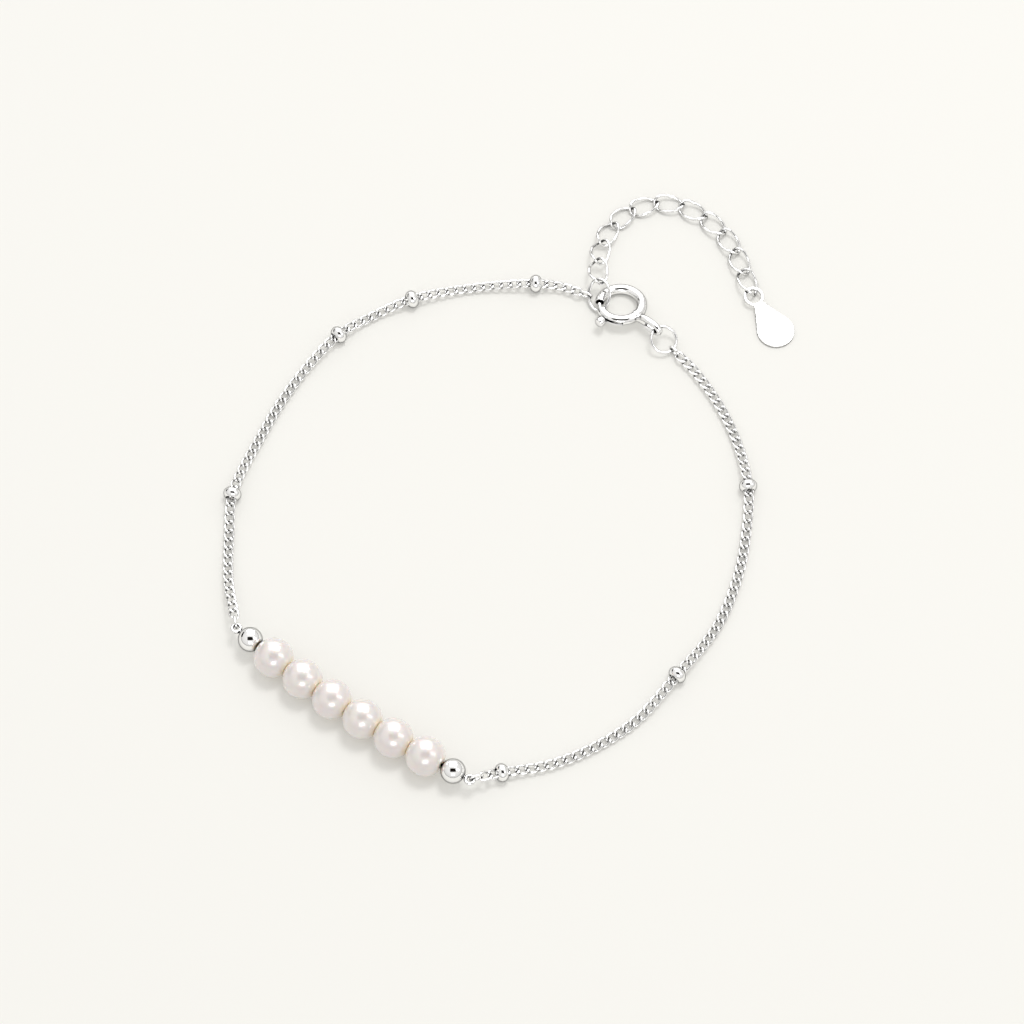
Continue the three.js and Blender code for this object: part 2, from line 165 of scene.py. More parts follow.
# The fine chains' middle lines, from the wire that each hangs on at the bar to its ring.
LEFT_ROUTE = [
    (-27.771, -16.115, 1.795), (-28.579, -11.927, 0.852), (-28.779, -5.924, 0.455),
    (-28.579, -1.826, 0.925), (-26.076, 4.774, 0.440), (-22.776, 11.173, 0.440),
    (-18.177, 16.875, 0.925), (-14.677, 19.373, 0.451), (-10.579, 21.173, 0.925),
    (-4.476, 22.773, 0.440), (2.420, 23.074, 0.925), (5.123, 22.874, 0.596),
    (7.123, 22.084, 0.662),
]
LEFT_ENDS = ((-27.595, -17.026, 2.000), (7.997, 21.738, 0.691))
RIGHT_ROUTE = [
    (-2.969, -33.242, 1.671), (-1.075, -32.524, 0.925), (3.624, -31.526, 0.524),
    (8.022, -29.626, 0.441), (12.225, -26.727, 0.440), (16.322, -22.028, 0.925),
    (20.325, -16.726, 0.440), (22.621, -11.225, 0.440), (23.725, -5.829, 0.443),
    (24.021, -0.929, 0.925), (23.123, 4.172, 0.442), (21.323, 8.776, 0.446),
    (18.725, 12.974, 0.527), (17.286, 14.592, 0.563),
]
RIGHT_ENDS = ((-3.803, -33.558, 2.000), (16.658, 15.298, 0.580))

# The extender's links: place, heading, pitch and roll.
EXTENDER = [
    (8.986, 24.250, 1.560, 90.27, -7.72, 0.0), (9.244, 26.893, 1.128, 78.05, -10.67, 0.0),
    (10.085, 29.408, 0.691, 62.17, -6.24, 0.0), (11.715, 31.543, 0.563, 42.78, -0.53, 0.0),
    (14.027, 32.886, 0.555, 17.56, -0.16, 0.0), (16.693, 33.179, 0.552, -7.03, 0.06, 0.0),
    (19.203, 32.240, 0.551, -30.35, 0.0, 0.0), (21.318, 30.576, 0.551, -46.28, 0.0, 0.0),
    (22.907, 28.405, 0.551, -60.77, 0.0, 0.0), (23.951, 25.916, 0.633, -71.32, 0.0, 0.0),
    (24.761, 23.340, 0.714, -72.02, 0.0, -18.0),
]


# Camera and studio

def round_turn(count):
    """The cosine and sine of evenly spaced turns, once round."""
    return [(math.cos(a), math.sin(a)) for a in (2 * math.pi * k / count for k in range(count))]


def set_camera():
    """The camera in front of the bracelet, looking down on it at the photograph's angle."""
    lens = bpy.data.cameras.new("studio_camera")
    lens.lens = CAMERA_LENS
    lens.sensor_width = 36.0
    lens.clip_start = 0.01
    lens.clip_end = 10.0
    camera = bpy.data.objects.new("studio_camera", lens)
    elevation = math.radians(CAMERA_ELEVATION)
    back = Vector((0.0, -math.cos(elevation), math.sin(elevation)))
    camera.location = Vector(CAMERA_AIM) + CAMERA_DISTANCE * back
    camera.rotation_euler = (math.pi / 2 - elevation, 0.0, 0.0)
    bpy.context.scene.collection.objects.link(camera)
    bpy.context.scene.camera = camera


def toward(azimuth, elevation, distance):
    """A place round the bracelet, from its direction in degrees and its distance in metres."""
    a, e = math.radians(azimuth), math.radians(elevation)
    return distance * Vector((math.cos(e) * math.cos(a), math.cos(e) * math.sin(a), math.sin(e)))


def face_middle(thing):
    thing.rotation_euler = thing.location.normalized().to_track_quat("Z", "Y").to_euler()


def soft_panel(name, place, width, height, brightness, lights=True, mirrored=True):
    """A rectangular lamp turned to the bracelet. Its power follows from its area and brightness.
    A panel may light the table and the pearls, be mirrored in the silver, or both."""
    lamp = bpy.data.lights.new(name, "AREA")
    lamp.shape = "RECTANGLE"
    lamp.size = width
    lamp.size_y = height
    lamp.energy = brightness * math.pi * width * height
    panel = bpy.data.objects.new(name, lamp)
    panel.location = place
    face_middle(panel)
    panel.visible_camera = False
    panel.visible_diffuse = lights
    panel.visible_glossy = mirrored
    bpy.context.scene.collection.objects.link(panel)


def plain(name, colour, roughness=0.9, glow=0.0):
    """Matt paint for the studio. A glow evens out the light on it."""
    paint = bpy.data.materials.new(name)
    paint.use_nodes = True
    shader = paint.node_tree.nodes["Principled BSDF"]
    shader.inputs["Base Color"].default_value = (*colour, 1.0)
    shader.inputs["Roughness"].default_value = roughness
    shader.inputs["Specular IOR Level"].default_value = 0.0
    shader.inputs["Emission Color"].default_value = (1.0, 0.992, 0.955, 1.0)
    shader.inputs["Emission Strength"].default_value = glow
    return paint


def flat_card(name, place, width, height, paint, upright=True, seen=False):
    """A plain card on the stage. An upright one faces the bracelet, only to be mirrored in it."""
    mesh = bpy.data.meshes.new(name)
    w, h = width / 2, height / 2
    mesh.from_pydata([(-w, -h, 0), (w, -h, 0), (w, h, 0), (-w, h, 0)], [], [(0, 1, 2, 3)])
    mesh.materials.append(paint)
    card = bpy.data.objects.new(name, mesh)
    card.location = place
    if upright:
        face_middle(card)
    card.visible_camera = card.visible_diffuse = card.visible_shadow = seen
    bpy.context.scene.collection.objects.link(card)


def round_wall(name, radius, height, paint, sides=96):
    """A pale wall round the table, which only the camera sees, so that low views end on it."""
    rim = [(radius * c, radius * s) for c, s in round_turn(sides)]
    points = [(x, y, 0.0) for x, y in rim] + [(x, y, height) for x, y in rim]
    faces = []
    for k in range(sides):
        n = (k + 1) % sides
        faces.append((k, k + sides, n + sides, n))
    mesh = bpy.data.meshes.new(name)
    mesh.from_pydata(points, [], faces)
    mesh.polygons.foreach_set("use_smooth", [True] * len(mesh.polygons))
    mesh.materials.append(paint)
    wall = bpy.data.objects.new(name, mesh)
    wall.visible_glossy = wall.visible_diffuse = False
    wall.visible_shadow = wall.visible_transmission = False
    bpy.context.scene.collection.objects.link(wall)


def tent_light(world):
    """A white tent round the table, brightest overhead and dim near the table's edge."""
    world.use_nodes = True
    nodes, links = world.node_tree.nodes, world.node_tree.links
    place = nodes.new("ShaderNodeTexCoord")
    split = nodes.new("ShaderNodeSeparateXYZ")
    ramp = nodes.new("ShaderNodeValToRGB")
    stops = [(0.00, 0.30), (0.06, 0.44), (0.16, 0.73), (0.50, 0.84), (0.80, 0.92)]
    while len(ramp.color_ramp.elements) < len(stops):
        ramp.color_ramp.elements.new(0.5)
    for element, (rise, level) in zip(ramp.color_ramp.elements, stops):
        element.position = rise
        element.color = (level, 0.99 * level, 0.97 * level, 1.0)
    links.new(place.outputs["Generated"], split.inputs["Vector"])
    links.new(split.outputs["Z"], ramp.inputs["Fac"])
    links.new(ramp.outputs["Color"], nodes["Background"].inputs["Color"])


def set_studio():
    bpy.context.scene.view_settings.view_transform = "Standard"
    world = bpy.data.worlds.new("studio_tent")
    bpy.context.scene.world = world
    tent_light(world)
    table_paint = plain("pale_table", PALE_PAINT, glow=0.165)
    table_width = 2 * WALL_RADIUS + 0.2
    flat_card("table_top", (0.0, 0.0, 0.0), table_width, table_width, table_paint,
              upright=False, seen=True)
    round_wall("pale_wall", WALL_RADIUS, 1.6, plain("pale_wall_paint", PALE_PAINT, glow=0.23))
    dark = plain("dark_card", (0.012, 0.010, 0.009))
    flat_card("camera_shade", toward(-90, 72, 0.42), 0.40, 0.235, dark)
    flat_card("left_shade", toward(152, 11, 0.50), 0.30, 0.15, dark)
    soft_panel("overhead_key", toward(56, 72, 0.60), 0.18, 0.18, 10.7, mirrored=False)
    soft_panel("back_softbox", toward(84, 53, 0.60), 0.62, 0.42, 3.6, lights=False)
    soft_panel("front_panel", toward(-90, 33, 0.55), 0.26, 0.17, 3.6, lights=False)
    soft_panel("low_back_panel", toward(90, 19, 0.62), 0.62, 0.22, 1.35, lights=False)
    soft_panel("right_panel", toward(-10, 46, 0.55), 0.13, 0.34, 2.3, lights=False)


# Mesh making: all shapes are worked out in millimetres and stored in metres.

def piece_from(name, points, faces, finish, sharp=38.0):
    """A smooth piece with sharp edges where its faces meet at more than the given degrees."""
    mesh = bpy.data.meshes.new(name)
    mesh.from_pydata([tuple(MM * c for c in p) for p in points], [], [tuple(f) for f in faces])
    mesh.validate()
    mesh.polygons.foreach_set("use_smooth", [True] * len(mesh.polygons))
    mesh.set_sharp_from_angle(angle=math.radians(sharp))
    mesh.materials.append(finish)
    thing = bpy.data.objects.new(name, mesh)
    bpy.context.scene.collection.objects.link(thing)
    return thing


def fix_normals(thing):
    """Joins points that coincide and turns all faces outward."""
    mesh = bmesh.new()
    mesh.from_mesh(thing.data)
    bmesh.ops.remove_doubles(mesh, verts=mesh.verts, dist=1e-8)
    bmesh.ops.recalc_face_normals(mesh, faces=mesh.faces)
    mesh.to_mesh(thing.data)
    mesh.free()


def skin(rings, round_on=False):
    """Points and outward faces of a tube of rings. It is closed on itself, or ends open."""
    count, sides = len(rings), len(rings[0])
    points = [p for ring in rings for p in ring]
    faces = []
    for i in range(count if round_on else count - 1):
        j = (i + 1) % count
        for k in range(sides):
            n = (k + 1) % sides
            faces.append((i * sides + k, j * sides + k, j * sides + n, i * sides + n))
    return points, faces


def capped(rings):
    """A tube of rings, closed at both ends."""
    points, faces = skin(rings)
    sides = len(rings[0])
    last = (len(rings) - 1) * sides
    faces.append(tuple(range(sides)))
    faces.append(tuple(last + k for k in reversed(range(sides))))
    return points, faces


def merged(*parts):
    """Several shapes as one list of points and one of faces."""
    points, faces = [], []
    for more_points, more_faces in parts:
        start = len(points)
        points += list(more_points)
        faces += [tuple(start + i for i in face) for face in more_faces]
    return points, faces


def moved(part, matrix):
    points, faces = part
    return [tuple(matrix @ Vector(p)) for p in points], faces


def at(place, turn=(0.0, 0.0, 0.0)):
    """A piece's place in millimetres, with its turn about X, Y and Z in degrees."""
    turned_by = Euler([math.radians(t) for t in turn], "XYZ").to_matrix().to_4x4()
    return Matrix.Translation(Vector(place)) @ turned_by


def turned(profile, sides):
    """A closed profile of (along, radius) turned about X."""
    rings = [[(x, r * c, r * s) for x, r in profile] for c, s in round_turn(sides)]
    return skin(rings, round_on=True)


def wire_along(centres, radii, sides, round_on=False):
    """A round wire swept along its middle line without twisting."""
    centres = [Vector(c) for c in centres]
    count = len(centres)
    tangents = []
    for i in range(count):
        before = centres[i - 1] if round_on or i else centres[0]
        after = centres[(i + 1) % count] if round_on or i < count - 1 else centres[-1]
        tangents.append((after - before).normalized())
    side = tangents[0].orthogonal().normalized()
    rings = []
    for i in range(count):
        side = (side - tangents[i] * side.dot(tangents[i])).normalized()
        up = tangents[i].cross(side)
        r = radii[i] if hasattr(radii, "__len__") else radii
        rings.append([tuple(centres[i] + r * (c * side + s * up)) for c, s in round_turn(sides)])
    return skin(rings, round_on=True) if round_on else capped(rings)


def signed_power(value, power):
    return math.copysign(abs(value) ** power, value)


def link_line(length, width, wire, twist=0.0, squareness=LINK_SQUARENESS, steps=48):
    """An oval link's middle line, its ends turned opposite ways by the twist."""
    reach, spread = (length - wire) / 2, (width - wire) / 2
    line = []
    for i in range(steps):
        t = 2 * math.pi * i / steps
        x = reach * signed_power(math.cos(t), 2 / squareness)
        y = spread * signed_power(math.sin(t), 2 / squareness)
        roll = -math.radians(twist) * signed_power(x / reach, TWIST_POWER)
        line.append((x, y * math.cos(roll), y * math.sin(roll)))
    return line


def oval_link(length, width, wire, squareness=LINK_SQUARENESS, steps=48, sides=14):
    line = link_line(length, width, wire, 0.0, squareness, steps)
    return wire_along(line, wire / 2, sides, round_on=True)


def box_centre(node):
    low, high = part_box(node)
    return (low + high) / 2 / MM


def dress(thing, slot, *nodes, body="bracelet"):
    """Fixes a piece to its body, in place of the solids that it shows in full."""
    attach(thing, body)
    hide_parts(*nodes)


# Finishes

def start_finish(name):
    finish = bpy.data.materials.new(name)
    finish.use_nodes = True
    nodes, links = finish.node_tree.nodes, finish.node_tree.links
    return finish, nodes, links, nodes["Principled BSDF"]


def grain(nodes, links, scale, detail=4.0, stretch=(1.0, 1.0, 1.0), distortion=0.0):
    """Noise laid over a piece's own coordinates."""
    place = nodes.new("ShaderNodeTexCoord")
    lay = nodes.new("ShaderNodeMapping")
    lay.inputs["Scale"].default_value = stretch
    noise = nodes.new("ShaderNodeTexNoise")
    noise.inputs["Scale"].default_value = scale
    noise.inputs["Detail"].default_value = detail
    noise.inputs["Distortion"].default_value = distortion
    links.new(place.outputs["Object"], lay.inputs["Vector"])
    links.new(lay.outputs["Vector"], noise.inputs["Vector"])
    return noise.outputs["Fac"]


def spread_between(nodes, links, value, low, high, start=0.35, end=0.65):
    """A value from start to end, spread over the range from low to high."""
    spread = nodes.new("ShaderNodeMapRange")
    spread.inputs["From Min"].default_value = start
    spread.inputs["From Max"].default_value = end
    spread.inputs["To Min"].default_value = low
    spread.inputs["To Max"].default_value = high
    links.new(value, spread.inputs["Value"])
    return spread.outputs["Result"]


def colours_over(nodes, links, value, stops):
    """Colours that follow a value, from (position, colour) stops."""
    ramp = nodes.new("ShaderNodeValToRGB")
    while len(ramp.color_ramp.elements) < len(stops):
        ramp.color_ramp.elements.new(0.5)
    for element, (position, colour) in zip(ramp.color_ramp.elements, stops):
        element.position = position
        element.color = (*colour, 1.0)
    links.new(value, ramp.inputs["Fac"])
    return ramp.outputs["Color"]


def relief(nodes, links, height, depth, strength=1.0, under=None):
    """Fine unevenness of the given depth in metres, over another one if that is given."""
    bump = nodes.new("ShaderNodeBump")
    bump.inputs["Strength"].default_value = strength
    bump.inputs["Distance"].default_value = depth
    links.new(height, bump.inputs["Height"])
    if under is not None:
        links.new(under, bump.inputs["Normal"])
    return bump.outputs["Normal"]


def painted_hollow_shading(nodes, links, tint, painted_hollow_colour, reach, darkest, full):
    """The tint turned to a painted colour where another surface lies within reach: painted shade
    in the silver's hollows, and a painted glow of bounced light between the pearls.
    """
    open_sky = nodes.new("ShaderNodeAmbientOcclusion")
    open_sky.samples = 8
    open_sky.inputs["Distance"].default_value = reach
    share = spread_between(nodes, links, open_sky.outputs["AO"], full, 0.0, darkest, 1.0)
    blend = nodes.new("ShaderNodeMix")
    blend.data_type = "RGBA"
    ends = {socket.identifier: socket for socket in (*blend.inputs, *blend.outputs)}
    ends["B_Color"].default_value = (*painted_hollow_colour, 1.0)
    links.new(share, ends["Factor_Float"])
    links.new(tint, ends["A_Color"])
    return ends["Result_Color"]


def pearl_nacre():
    """Softly banded nacre under a clear coat, with a warmer glow of bounced light painted into
    the hollows between two pearls.
    """
    finish, nodes, links, shader = start_finish("pearl_nacre")
    bands = grain(nodes, links, 330.0, 3.0, (1.0, 1.0, 1.6), 0.6)
    tint = colours_over(nodes, links, bands, [
        (0.30, (0.735, 0.69, 0.675)), (0.48, (0.77, 0.73, 0.71)),
        (0.60, (0.76, 0.705, 0.695)), (0.75, (0.72, 0.705, 0.71))])
    # Painted light: a golden glow of light bounced through the nacre, painted where two pearls
    # meet.
    warm = painted_hollow_shading(nodes, links, tint, (0.93, 0.76, 0.50), 0.0007, 0.25, 0.6)
    links.new(warm, shader.inputs["Base Color"])
    for socket, value in {
            "Metallic": 0.12, "Roughness": 0.28, "IOR": 1.6, "Subsurface Weight": 0.6,
            "Subsurface Radius": (1.0, 0.66, 0.40), "Subsurface Scale": 0.0010,
            "Coat Weight": 1.0, "Coat Roughness": 0.155, "Coat IOR": 1.85}.items():
        shader.inputs[socket].default_value = value
    pits = grain(nodes, links, 5200.0, 3.0)
    swell = grain(nodes, links, 420.0, 2.0)
    wavy = relief(nodes, links, swell, 0.00003, 0.5)
    links.new(relief(nodes, links, pits, 0.0000015, 0.5, wavy), shader.inputs["Normal"])
    return finish


def silver(name, colour, smooth, dull, scratch_scale, scratch_depth, stretch=(1.0, 1.0, 1.0),
           hollow=(0.00035, 0.25), edge=0.05):
    """Silver between two roughnesses, with near-black shade painted into its hollows. A hollow is
    that painted shade's reach and the openness of its darkest.
    """
    finish, nodes, links, shader = start_finish(name)
    shader.inputs["Metallic"].default_value = 1.0
    # Painted shade: the dark edge tint makes the reflection fall away towards the silver's
    # outline, drawing dark edges.
    shader.inputs["Specular Tint"].default_value = (edge, edge, edge, 1.0)
    haze = grain(nodes, links, 700.0, 3.0)
    hazed = tuple(c * 0.97 for c in colour)
    tint = colours_over(nodes, links, haze, [(0.3, colour), (0.7, hazed)])
    # Painted shade: the colour goes near-black where another surface lies close, between links
    # and where parts meet.
    dark = painted_hollow_shading(nodes, links, tint, (0.03, 0.03, 0.032), *hollow, 1.0)
    links.new(dark, shader.inputs["Base Color"])
    scratches = grain(nodes, links, scratch_scale, 5.0, stretch)
    links.new(spread_between(nodes, links, scratches, smooth, dull), shader.inputs["Roughness"])
    links.new(relief(nodes, links, scratches, scratch_depth, 0.4), shader.inputs["Normal"])
    return finish


nacre = pearl_nacre()
# Each silver's hollow setting gives the reach and depth of the shade painted into its hollows.
bright_silver = silver(
    "bright_silver", (0.97, 0.968, 0.965), smooth=0.015, dull=0.05,
    scratch_scale=6000.0, scratch_depth=0.0000006)
wire_silver = silver(
    "drawn_wire_silver", (0.97, 0.968, 0.965), smooth=0.02, dull=0.06,
    scratch_scale=9000.0, scratch_depth=0.0000008, stretch=(1.0, 1.0, 0.3), hollow=(0.00055, 0.5))
chain_silver = silver(
    "fine_chain_silver", (0.98, 0.978, 0.975), smooth=0.01, dull=0.04,
    scratch_scale=9000.0, scratch_depth=0.0000005, stretch=(1.0, 1.0, 0.3), hollow=(0.0003, 0.16),
    edge=0.4)
tag_silver = silver(
    "pressed_tag_silver", (0.96, 0.957, 0.953), smooth=0.14, dull=0.28,
    scratch_scale=5200.0, scratch_depth=0.000002, stretch=(1.0, 0.25, 1.0))


# Pearl bar

def rounded_bead(diameter, length, face, hole, rim, rows=40):
    """Profile of a drilled bead's wall, as (along, radius) pairs all the way round."""
    start = math.asin(face / diameter)
    reach = length / 2 / math.cos(start)
    arch = []
    for i in range(rows + 1):
        t = start + (math.pi - 2 * start) * i / rows
        arch.append((-reach * math.cos(t), diameter / 2 * math.sin(t)))
    half, bore = length / 2, hole / 2
    left = [(-half + rim, bore), (-half + 0.3 * rim, bore + 0.3 * rim), (-half, bore + rim)]
    right = [(-x, r) for x, r in reversed(left)]
    wall = [(half * (1 - 0.5 * i), bore) for i in range(1, 4)]
    return left + arch + right + wall


def row_headings(names):
    """Each bead's heading along the bar, from its neighbours' places."""
    centres = [box_centre(name) for name in names]
    headings = []
    for i in range(len(centres)):
        a, b = centres[max(0, i - 1)], centres[min(len(centres) - 1, i + 1)]
        headings.append(math.degrees(math.atan2(b.y - a.y, b.x - a.x)))
    return centres, headings


def bar_wire(centres, headings):
    """The wire through the bar's row, from one eyelet to the other."""
    eyes = [Vector(LEFT_EYELET), Vector(RIGHT_EYELET)]
    line = through([tuple(p) for p in (eyes[0], *centres, eyes[1])], 10)
    line = [p for p in line if all((Vector(p) - eye).length > EYELET_RADIUS for eye in eyes)]
    ring = [(EYELET_RADIUS * c, EYELET_RADIUS * s, 0.0) for c, s in round_turn(40)]
    eyelet = wire_along(ring, BAR_WIRE / 2, 14, round_on=True)
    return merged(wire_along(line, BAR_WIRE / 2, 14),
                  moved(eyelet, at(eyes[0], (0, 0, headings[0]))),
                  moved(eyelet, at(eyes[1], (0, 0, headings[-1]))))


def make_pearl_bar():
    names = ["end_ball_left"] + [f"pearl_{i}" for i in range(1, 7)] + ["end_ball_right"]
    centres, headings = row_headings(names)
    rng = np.random.default_rng(11)
    pearl = turned(rounded_bead(PEARL_DIAMETER, PEARL_LENGTH, PEARL_FACE, PEARL_HOLE,
                                PEARL_RIM, 44), 72)
    ball_length = math.sqrt(BALL_DIAMETER ** 2 - BALL_HOLE ** 2)
    ball = turned(rounded_bead(BALL_DIAMETER, ball_length, BALL_FACE, BALL_HOLE,
                               BALL_RIM, 36), 64)
    for name, centre, heading in zip(names, centres, headings):
        turn = (float(rng.uniform(0, 360)), 0.0, heading)
        is_pearl = name.startswith("pearl")
        shape = moved(pearl if is_pearl else ball, at(centre, turn))
        plain_name = name.replace("pearl_", "nacre_pearl_").replace("end_ball", "polished_ball")
        finish = nacre if is_pearl else bright_silver
        thing = piece_from(plain_name, *shape, finish, sharp=60.0)
        dress(thing, "pearl" if is_pearl else "silver", name)
    wire = piece_from("bar_wire_with_eyelets", *bar_wire(centres, headings), wire_silver)
    fix_normals(wire)
    dress(wire, "silver", "pearl_wire")


# Chains

def blended(u, v, s, low, high):
    """The point between u, at low, and v, at high, that belongs to s."""
    return u * ((high - s) / (high - low)) + v * ((s - low) / (high - low))


def through(points, fine=24):
    """A smooth line through all the points, paced by the square roots of their distances."""
    p = [Vector(q) for q in points]
    p = [2 * p[0] - p[1]] + p + [2 * p[-1] - p[-2]]
    line = []
    for i in range(1, len(p) - 2):
        a, b, c, d = p[i - 1:i + 3]
        t = [0.0]
        for u, v in ((a, b), (b, c), (c, d)):
            t.append(t[-1] + max((v - u).length, 1e-6) ** 0.5)
        for k in range(fine):
            s = t[1] + (t[2] - t[1]) * k / fine
            ab = blended(a, b, s, t[0], t[1])
            bc = blended(b, c, s, t[1], t[2])
            cd = blended(c, d, s, t[2], t[3])
            abc, bcd = blended(ab, bc, s, t[0], t[2]), blended(bc, cd, s, t[1], t[3])
            line.append(tuple(blended(abc, bcd, s, t[1], t[2])))
    line.append(tuple(p[-2]))
    return line


def trim_line(line, start, end):
    """The line without its first and last stretch of the given lengths."""
    points = [Vector(p) for p in line]
    for cut in (start, end):
        left = cut
        while (points[1] - points[0]).length <= left:
            left -= (points[1] - points[0]).length
            points.pop(0)
        points[0] = points[0] + (points[1] - points[0]).normalized() * left
        points.reverse()
    return points


def line_length(points):
    return sum((Vector(b) - Vector(a)).length for a, b in zip(points, points[1:]))


class Tree:
    """A geometry tree with named inputs, put together node by node."""

    def __init__(self, name, inputs):
        self.group = bpy.data.node_groups.new(name, "GeometryNodeTree")
        face = self.group.interface
        for label, kind in inputs:
            face.new_socket(label, in_out="INPUT", socket_type="NodeSocket" + kind)
        face.new_socket("Geometry", in_out="OUTPUT", socket_type="NodeSocketGeometry")
        self.start = self.group.nodes.new("NodeGroupInput")
        self.end = self.group.nodes.new("NodeGroupOutput")

    def value(self, label):
        return self.start.outputs[label]

    def add(self, kind, inputs=None, **settings):
        node = self.group.nodes.new(kind)
        for key, setting in settings.items():
            setattr(node, key, setting)
        for key, given in (inputs or {}).items():
            if hasattr(given, "is_output"):
                self.group.links.new(given, node.inputs[key])
            else:
                node.inputs[key].default_value = given
        return node

    def sum(self, operation, *given):
        return self.add("ShaderNodeMath", dict(enumerate(given)), operation=operation).outputs[0]

    def bent(self, value, power):
        size = self.sum("POWER", self.sum("ABSOLUTE", value), power)
        return self.sum("MULTIPLY", self.sum("SIGN", value), size)

    def finish(self, geometry):
        self.group.links.new(geometry, self.end.inputs["Geometry"])
        return self.group


LINK_INPUTS = [
    ("Link length", "Float"), ("Link width", "Float"), ("Wire", "Float"), ("End twist", "Float"),
    ("Twist power", "Float"), ("Squareness", "Float"), ("Steps", "Int"), ("Sides", "Int"),
    ("Finish", "Material"),
]


def bent_wire_link(tree):
    """One oval link in the tree, its ends turned opposite ways."""
    bend = tree.add("GeometryNodeCurvePrimitiveCircle",
                    {"Resolution": tree.value("Steps"), "Radius": 1.0})
    place = tree.add("GeometryNodeInputPosition").outputs[0]
    split = tree.add("ShaderNodeSeparateXYZ", {0: place})
    power = tree.sum("DIVIDE", 2.0, tree.value("Squareness"))
    share = tree.bent(split.outputs["X"], power)
    across = tree.bent(split.outputs["Y"], power)
    wire = tree.value("Wire")
    reach = tree.sum("MULTIPLY", tree.sum("SUBTRACT", tree.value("Link length"), wire), 0.5)
    spread = tree.sum("MULTIPLY", tree.sum("SUBTRACT", tree.value("Link width"), wire), 0.5)
    roll = tree.sum("MULTIPLY", tree.bent(share, tree.value("Twist power")),
                    tree.sum("MULTIPLY", tree.value("End twist"), -1.0))
    wide = tree.sum("MULTIPLY", across, spread)
    spot = tree.add("ShaderNodeCombineXYZ", {
        "X": tree.sum("MULTIPLY", share, reach),
        "Y": tree.sum("MULTIPLY", wide, tree.sum("COSINE", roll)),
        "Z": tree.sum("MULTIPLY", wide, tree.sum("SINE", roll))}).outputs[0]
    oval = tree.add("GeometryNodeSetPosition",
                    {"Geometry": bend.outputs["Curve"], "Position": spot}).outputs[0]
    section = tree.add("GeometryNodeCurvePrimitiveCircle", {
        "Resolution": tree.value("Sides"), "Radius": tree.sum("MULTIPLY", wire, 0.5)})
    return tree.add("GeometryNodeCurveToMesh",
                    {"Curve": oval, "Profile Curve": section.outputs["Curve"]}).outputs[0]


def finished_links(tree, links):
    """Ends the tree with its links as a smooth mesh in their finish."""
    solid = tree.add("GeometryNodeRealizeInstances", {0: links}).outputs[0]
    smooth = tree.add("GeometryNodeSetShadeSmooth",
                      {"Geometry": solid, "Shade Smooth": True}).outputs[0]
    look = tree.add("GeometryNodeSetMaterial",
                    {"Geometry": smooth, "Material": tree.value("Finish")}).outputs[0]
    return tree.finish(look)


def links_along_route():
    """A tree that lays links evenly along a line, their flat sides up."""
    tree = Tree("links_along_route", [("Route", "Geometry"), ("Links", "Int")] + LINK_INPUTS)
    line = tree.add("GeometryNodeMeshToCurve", {"Mesh": tree.value("Route")}).outputs[0]
    stops = tree.add("GeometryNodeResampleCurve",
                     {"Curve": line, "Count": tree.value("Links")}).outputs[0]
    along = tree.add("GeometryNodeInputTangent").outputs[0]
    level = tree.add("FunctionNodeAlignRotationToVector", {"Vector": along},
                     axis="X", pivot_axis="Z").outputs[0]
    lie = tree.add("FunctionNodeAlignRotationToVector", {"Rotation": level, "Vector": along},
                   axis="X", pivot_axis="Y").outputs[0]
    laid = tree.add("GeometryNodeInstanceOnPoints", {
        "Points": stops, "Instance": bent_wire_link(tree), "Rotation": lie}).outputs[0]
    return finished_links(tree, laid)


def links_at_places():
    """A tree that sets a link at each point, turned as the point says."""
    tree = Tree("links_at_places", [("Places", "Geometry")] + LINK_INPUTS)
    lie = tree.add("GeometryNodeInputNamedAttribute", {"Name": "lie"},
                   data_type="QUATERNION").outputs["Attribute"]
    laid = tree.add("GeometryNodeInstanceOnPoints", {
        "Points": tree.value("Places"), "Instance": bent_wire_link(tree),
        "Rotation": lie}).outputs[0]
    return finished_links(tree, laid)


def grown(name, base, group, sizes):
    """The tree's result on a base mesh, as a plain mesh piece."""
    seed = bpy.data.objects.new(name + "_base", base)
    bpy.context.scene.collection.objects.link(seed)
    modifier = seed.modifiers.new("growth", "NODES")
    modifier.node_group = group
    for item in group.interface.items_tree:
        if item.in_out == "INPUT" and item.name in sizes:
            modifier[item.identifier] = sizes[item.name]
    bpy.context.view_layer.update()
    ready = seed.evaluated_get(bpy.context.evaluated_depsgraph_get())
    mesh = bpy.data.meshes.new_from_object(ready)
    mesh.name = name
    mesh.materials.clear()
    mesh.materials.append(sizes["Finish"])
    mesh.polygons.foreach_set("material_index", [0] * len(mesh.polygons))
    seed.modifiers.clear()
    bpy.data.objects.remove(seed)
    thing = bpy.data.objects.new(name, mesh)
    bpy.context.scene.collection.objects.link(thing)
    return thing


def link_sizes(length, width, wire, twist, steps, sides, finish):
    """A link tree's inputs, from sizes in millimetres and degrees."""
    return {"Link length": length * MM, "Link width": width * MM, "Wire": wire * MM,
            "End twist": math.radians(twist), "Twist power": TWIST_POWER,
            "Squareness": LINK_SQUARENESS, "Steps": steps, "Sides": sides, "Finish": finish}


def standing_link(anchor, toward_point, wire):
    """The chain's last link: on edge round the wire at the anchor, pointing along the chain."""
    anchor, toward_point = Vector(anchor), Vector(toward_point)
    aim = (toward_point - anchor).normalized()
    middle = anchor + aim * (CURB_LENGTH / 2 - END_LINK_WIRE - wire / 2 - END_LINK_PLAY)
    side = Vector((-aim.y, aim.x, 0.0)).normalized()
    up = aim.cross(side)
    lie = Matrix((aim, up, -side)).transposed().to_4x4()
    link = oval_link(END_LINK_LENGTH, END_LINK_WIDTH, END_LINK_WIRE)
    return moved(link, Matrix.Translation(middle) @ lie)


